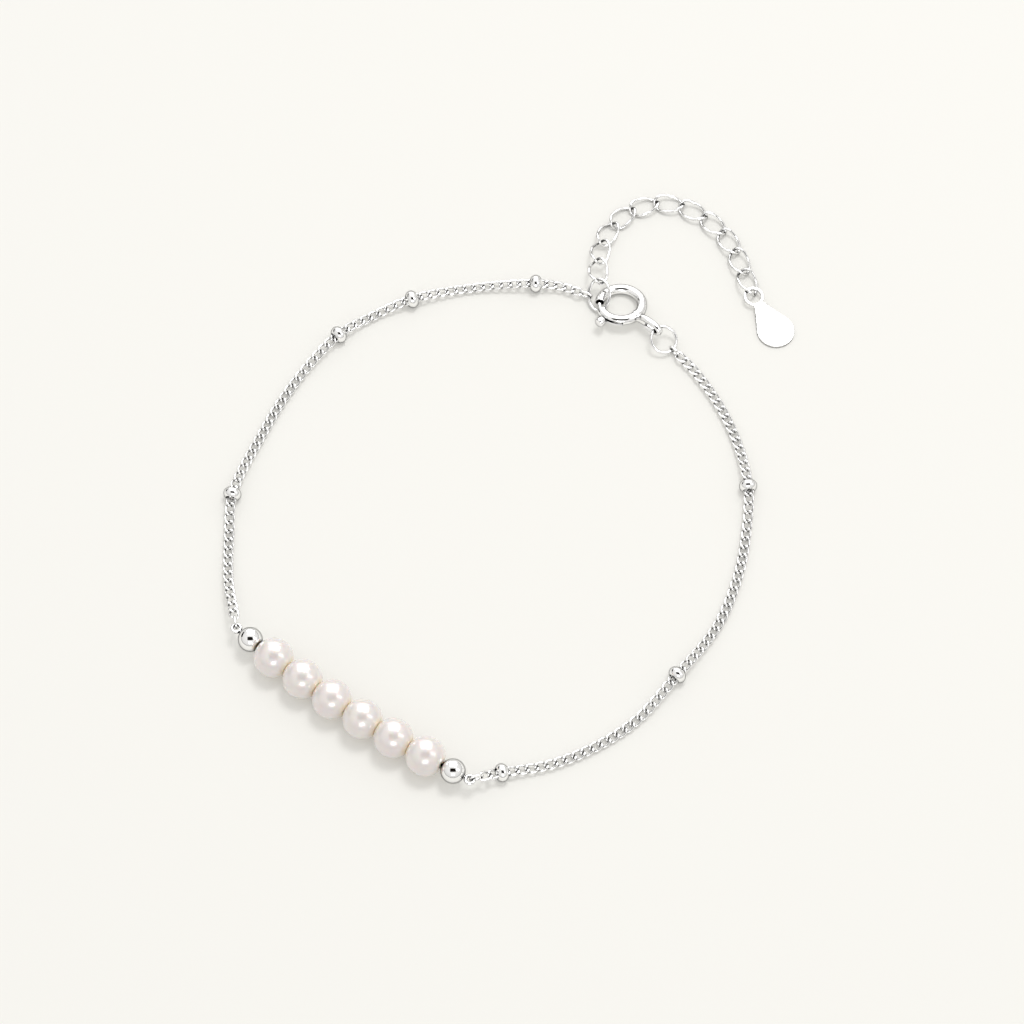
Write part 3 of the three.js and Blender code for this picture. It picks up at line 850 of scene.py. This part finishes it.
def join_pieces(name, finish, *things):
    """One object with the meshes of all the given ones, which it takes the place of."""
    mesh = bmesh.new()
    for thing in things:
        mesh.from_mesh(thing.data)
    whole = bpy.data.meshes.new(name)
    for face in mesh.faces:
        face.material_index = 0
    mesh.to_mesh(whole)
    mesh.free()
    whole.materials.append(finish)
    for thing in things:
        bpy.data.objects.remove(thing)
    joined = bpy.data.objects.new(name, whole)
    bpy.context.scene.collection.objects.link(joined)
    return joined


def make_chain(side, route, ends, wires, group):
    line = through(route)
    inset = (CURB_LENGTH - CURB_WIRE) / 2 - CURB_WIRE / 2 - END_LINK_WIRE / 2 - CURB_PLAY
    line = trim_line(line, inset, inset)
    steps = [(i, i + 1) for i in range(len(line) - 1)]
    base = bpy.data.meshes.new("route")
    base.from_pydata([tuple(MM * c for c in p) for p in line], steps, [])
    sizes = link_sizes(CURB_LENGTH, CURB_WIDTH, CURB_WIRE, CURB_TWIST, 26, 10, chain_silver)
    sizes["Links"] = round(line_length(line) / CURB_PITCH) + 1
    chain = grown(f"curb_links_{side}", base, group, sizes)
    first = piece_from("first_link", *standing_link(ends[0], route[0], wires[0]), chain_silver)
    last = piece_from("last_link", *standing_link(ends[1], route[-1], wires[1]), chain_silver)
    whole = join_pieces(f"fine_curb_chain_{side}", chain_silver, chain, first, last)
    dress(whole, "silver", f"chain_{side}")


def make_beads():
    profile = rounded_bead(BEAD_DIAMETER, BEAD_LENGTH, BEAD_FACE, BEAD_BORE, BEAD_RIM, 26)
    bead = turned(profile, 48)
    for side, route in (("left", LEFT_ROUTE), ("right", RIGHT_ROUTE)):
        line = [Vector(p) for p in through(route)]
        for name in [n for n in frame["nodes"] if n.startswith(f"station_bead_{side}")]:
            centre = box_centre(name)
            near = min(range(1, len(line) - 1), key=lambda i: (line[i] - centre).length)
            along = line[near + 1] - line[near - 1]
            heading = math.degrees(math.atan2(along.y, along.x))
            pitch = math.degrees(math.asin(along.z / along.length))
            shape = moved(bead, at(centre, (0, -pitch, heading)))
            plain_name = name.replace("station", "polished_station")
            thing = piece_from(plain_name, *shape, bright_silver, sharp=60.0)
            dress(thing, "silver", name)


def make_rings():
    for name, ring in (("hook_ring", HOOK_RING), ("eye_ring", EYE_RING)):
        shape = oval_link(ring["length"], ring["width"], ring["wire"], 2.0, 72, 16)
        shape = moved(shape, at(ring["place"], ring["turn"]))
        thing = piece_from(f"jump_ring_{name}", *shape, wire_silver)
        fix_normals(thing)
        dress(thing, "silver", name)


def make_extender():
    base = bpy.data.meshes.new("places")
    base.from_pydata([tuple(MM * c for c in row[:3]) for row in EXTENDER], [], [])
    lie = base.attributes.new("lie", "QUATERNION", "POINT")
    for entry, (x, y, z, heading, pitch, roll) in zip(lie.data, EXTENDER):
        turn = Euler([math.radians(t) for t in (roll, -pitch, heading)], "XYZ")
        entry.value = turn.to_quaternion()
    sizes = link_sizes(LINK_LENGTH, LINK_WIDTH, LINK_WIRE, LINK_TWIST, 56, 16, wire_silver)
    chain = grown("extender_links", base, links_at_places(), sizes)
    dress(chain, "silver", *[f"extender_link_{i}" for i in range(1, 12)])


# Tag

def straight_edge(start, end, turn, parts=6):
    """The points between two ends of a straight part of the drop's outline."""
    return [(start[0] + (end[0] - start[0]) * i / parts,
             start[1] + (end[1] - start[1]) * i / parts, turn) for i in range(1, parts)]


def tag_edge(steps=60):
    """The drop's outline as (x, y, outward turn), round the hole's boss and then the lobe."""
    boss, lobe = TAG_BOSS / 2, TAG_WIDTH / 2
    neck, neck_reach = TAG_NECK / 2, TAG_NECK_REACH
    boss_turn = math.asin(neck / boss)
    span = math.hypot(TAG_REACH - neck_reach, neck)
    lobe_turn = math.acos(lobe / span) + math.atan2(neck, TAG_REACH - neck_reach)
    start, end = math.pi + lobe_turn, 3 * math.pi - lobe_turn
    low = (TAG_REACH + lobe * math.cos(start), lobe * math.sin(start))
    high = (TAG_REACH + lobe * math.cos(end), lobe * math.sin(end))
    shares = [i / (steps - 1) for i in range(steps)]
    outline = []
    for share in shares:
        t = boss_turn + (2 * math.pi - 2 * boss_turn) * share
        outline.append((boss * math.cos(t), boss * math.sin(t), t))
    outline += straight_edge((neck_reach, -neck), low, start)
    for share in shares:
        t = start + (end - start) * share
        outline.append((TAG_REACH + lobe * math.cos(t), lobe * math.sin(t), t))
    outline += straight_edge(high, (neck_reach, neck), end)
    return outline, steps


def tag_lift(x):
    """How far the neck is bent up from the floor, softly round the fold."""
    slope = TAG_RISE / TAG_FOLD
    steepness = min(40.0, (TAG_FOLD - x) / TAG_FOLD_SOFTNESS)
    return slope * TAG_FOLD_SOFTNESS * math.log1p(math.exp(steepness))


def rim_points(wall, outward, angles, upper):
    """Points of a rounded rim of the tag, from a wall's place and its outward direction."""
    points = []
    for angle in angles:
        turn = math.radians(angle)
        spot = wall - outward * TAG_RIM * (1 - math.cos(turn))
        level = TAG_THICKNESS - TAG_RIM if upper else TAG_RIM
        points.append((spot.x, spot.y, level + TAG_RIM * math.sin(turn)))
    return points


def tag_section(inner, hole, outer, away, parts=24):
    """One closed section of the tag: its top, outer rim, underside and the hole's rim."""
    near, far = inner + hole * TAG_RIM, outer - away * TAG_RIM
    across = [near.lerp(far, k / parts) for k in range(parts + 1)]
    section = [(p.x, p.y, TAG_THICKNESS) for p in across]
    section += rim_points(outer, away, (60, 30, 0), True)
    section += rim_points(outer, away, (0, -30, -60), False)
    section += [(p.x, p.y, 0.0) for p in reversed(across)]
    section += rim_points(inner, -hole, (-60, -30, 0), False)
    section += rim_points(inner, -hole, (0, 30, 60), True)
    return [(x, y, z + tag_lift(x)) for x, y, z in section]


def make_tag():
    outline, boss_count = tag_edge()
    rest = len(outline) - boss_count + 1
    rings = []
    for i, (x, y, turn) in enumerate(outline):
        hole_turn = turn
        if i >= boss_count:
            hole_turn = outline[0][2] * (2 * (i - boss_count + 1) / rest - 1)
        hole = Vector((math.cos(hole_turn), math.sin(hole_turn)))
        away = Vector((math.cos(turn), math.sin(turn)))
        rings.append(tag_section(hole * (TAG_HOLE / 2), hole, Vector((x, y)), away))
    points, faces = skin(rings, round_on=True)
    faces = [tuple(reversed(f)) for f in faces]
    shape = moved((points, faces), at((*TAG_PLACE, 0.0), (0, 0, TAG_HEADING)))
    dress(piece_from("drop_tag", *shape, tag_silver, sharp=30.0), "silver", "tag")


# Clasp: its ring lies in XY and turns about Z in a frame of its own.

def clasp_frame():
    """The clasp's place and tilt, from the bolt's joint."""
    joint = frame["joints"][0]
    centre = Vector(joint["pos_m"]) / MM
    axis = Vector(joint["axis"]).normalized()
    across = Vector((1.0, 0.0, 0.0))
    up = axis.cross(across)
    lie = Matrix((across, up, axis)).transposed().to_4x4()
    return Matrix.Translation(centre) @ lie


def on_ring(angle, radius, out=0.0, rise=0.0):
    a = math.radians(angle)
    return ((radius + out) * math.cos(a), (radius + out) * math.sin(a), rise)


def tube_growth(angle):
    """0 at the clasp's mouth, and 1 where its tube has its full width."""
    return min(1.0, max(0.0, (angle - TUBE_FROM) / TUBE_TAPER))


def end_round(distance, reach, depth):
    """How much a tube's end is rounded down, at a distance in degrees from that end."""
    return depth * max(0.0, 1.0 - distance / reach) ** 2


def outer_wall(angle):
    width = 1.0 - MOUTH_NARROWING * (1.0 - math.sin(tube_growth(angle) * math.pi / 2))
    return (CLASP_TUBE / 2 * width - end_round(TUBE_TO - angle, FAR_ROUND, FAR_ROUND_DEPTH)
            - end_round(angle - TUBE_FROM, MOUTH_ROUND, MOUTH_ROUND_DEPTH))


def inner_wall(angle):
    return MOUTH_BORE + (TUBE_BORE - MOUTH_BORE) * tube_growth(angle)


def clasp_tube():
    """The hollow ring: outer and inner walls, open ends and the knob's slot."""
    slot_turn = math.degrees(math.asin(SLOT_HALF / (CLASP_TUBE / 2)))
    slot_parts, rest_parts = 4, 34
    rounds = [-slot_turn + 2 * slot_turn * k / slot_parts for k in range(slot_parts + 1)]
    rounds += [slot_turn + (360 - 2 * slot_turn) * k / rest_parts for k in range(1, rest_parts)]
    slot_from, slot_to = KNOB_ANGLE - SLOT_MARGIN, KNOB_ANGLE + KNOB_TRAVEL + SLOT_MARGIN
    near_ends = {TUBE_FROM + 1, TUBE_FROM + MOUTH_ROUND, TUBE_TO - FAR_ROUND, TUBE_TO - 0.7}
    along = np.linspace(TUBE_FROM, TUBE_TO, 150).tolist()
    stops = sorted({*near_ends, slot_from, slot_to, *along})
    sides, count = len(rounds), len(stops)
    shift = count * sides
    points = []
    for wall in (outer_wall, inner_wall):
        for angle in stops:
            r = wall(angle)
            for turn in rounds:
                a = math.radians(turn)
                points.append(on_ring(angle, CLASP_RADIUS, r * math.cos(a), r * math.sin(a)))

    def corners(i, k):
        n = (k + 1) % sides
        return i * sides + k, (i + 1) * sides + k, (i + 1) * sides + n, i * sides + n

    open_cells = {(i, k) for i in range(count - 1) for k in range(slot_parts)
                  if slot_from < (stops[i] + stops[i + 1]) / 2 < slot_to}
    faces = []
    for i in range(count - 1):
        for k in range(sides):
            if (i, k) not in open_cells:
                a, b, c, d = corners(i, k)
                faces += [(b, c, d, a), (a + shift, d + shift, c + shift, b + shift)]
    for k in range(sides):
        a, _, _, d = corners(0, k)
        faces.append((a, d, d + shift, a + shift))
        a, _, _, d = corners(count - 1, k)
        faces.append((a + shift, d + shift, d, a))
    for i, k in sorted(open_cells):
        a, b, c, d = corners(i, k)
        beside = {(a, b): (i, k - 1), (c, d): (i, k + 1), (d, a): (i - 1, k), (b, c): (i + 1, k)}
        for (p, q), cell in beside.items():
            if cell not in open_cells:
                faces.append((p, q, q + shift, p + shift))
    return points, faces


def clasp_eye():
    """The upright loop soldered to the ring, of half round wire, and the sleeve it stands on."""
    centre = CLASP_RADIUS + CLASP_TUBE / 2 - EYE_SINK + EYE_LENGTH / 2
    flat = link_line(EYE_LENGTH, EYE_WIDTH, EYE_WIRE, steps=64)
    line = [(x + centre, 0.0, y) for x, y, z in flat]
    points, faces = wire_along(line, EYE_WIRE / 2, 16, round_on=True)
    loop = [(x, y * EYE_THICKENING, z) for x, y, z in points], faces
    collar = [[(CLASP_RADIUS + out, wide * c, tall * s) for c, s in round_turn(32)]
              for out, wide, tall in EYE_COLLAR]
    sleeve = []
    for angle, height in EYE_SLEEVE:
        r = CLASP_TUBE / 2 + height
        ring = [on_ring(angle, CLASP_RADIUS, r * c, r * s) for c, s in round_turn(36)]
        sleeve.append(ring[::-1])
    return moved(merged(loop, capped(collar), capped(sleeve)), at((0, 0, 0), (0, 0, EYE_ANGLE)))


def round_bar(profile, sides=28):
    """A bar along X from (along, radius) pairs, closed at both ends."""
    return capped([[(x, r * c, r * s) for c, s in round_turn(sides)] for x, r in profile])


def bolt_rod(steps=50):
    """The bent rod in the clasp's bore, rounded at the tip that crosses the mouth."""
    line = [on_ring(a, CLASP_RADIUS) for a in np.linspace(BOLT_FROM, BOLT_TO, steps)]
    tip = [min(1.0, 0.35 + 0.65 * math.sqrt(min(1.0, i / 2.5))) for i in range(steps)]
    return wire_along(line, [BOLT_RADIUS * share for share in tip], 18)


def make_clasp():
    lie = clasp_frame()
    ring = moved(merged(clasp_tube(), clasp_eye()), lie)
    body = piece_from("spring_ring_clasp", *ring, bright_silver, sharp=40.0)
    fix_normals(body)
    dress(body, "silver", "clasp_ring")
    foot = CLASP_RADIUS + CLASP_TUBE / 2 + KNOB_GAP
    stem = round_bar([(CLASP_RADIUS, STEM_RADIUS), (foot + STEM_OVERLAP, STEM_RADIUS)])
    knob = round_bar([(foot + out, radius) for out, radius in KNOB_PROFILE])
    handle = moved(merged(stem, knob), at((0, 0, 0), (0, 0, KNOB_ANGLE)))
    parts = moved(merged(bolt_rod(), handle), lie)
    bolt = piece_from("clasp_bolt_and_knob", *parts, bright_silver, sharp=40.0)
    fix_normals(bolt)
    dress(bolt, "silver", "clasp_bolt", body="clasp_bolt")


set_camera()
set_studio()
make_pearl_bar()
route_tree = links_along_route()
make_chain("left", LEFT_ROUTE, LEFT_ENDS, (BAR_WIRE, HOOK_RING["wire"]), route_tree)
make_chain("right", RIGHT_ROUTE, RIGHT_ENDS, (BAR_WIRE, EYE_RING["wire"]), route_tree)
make_beads()
make_rings()
make_extender()
make_tag()
make_clasp()
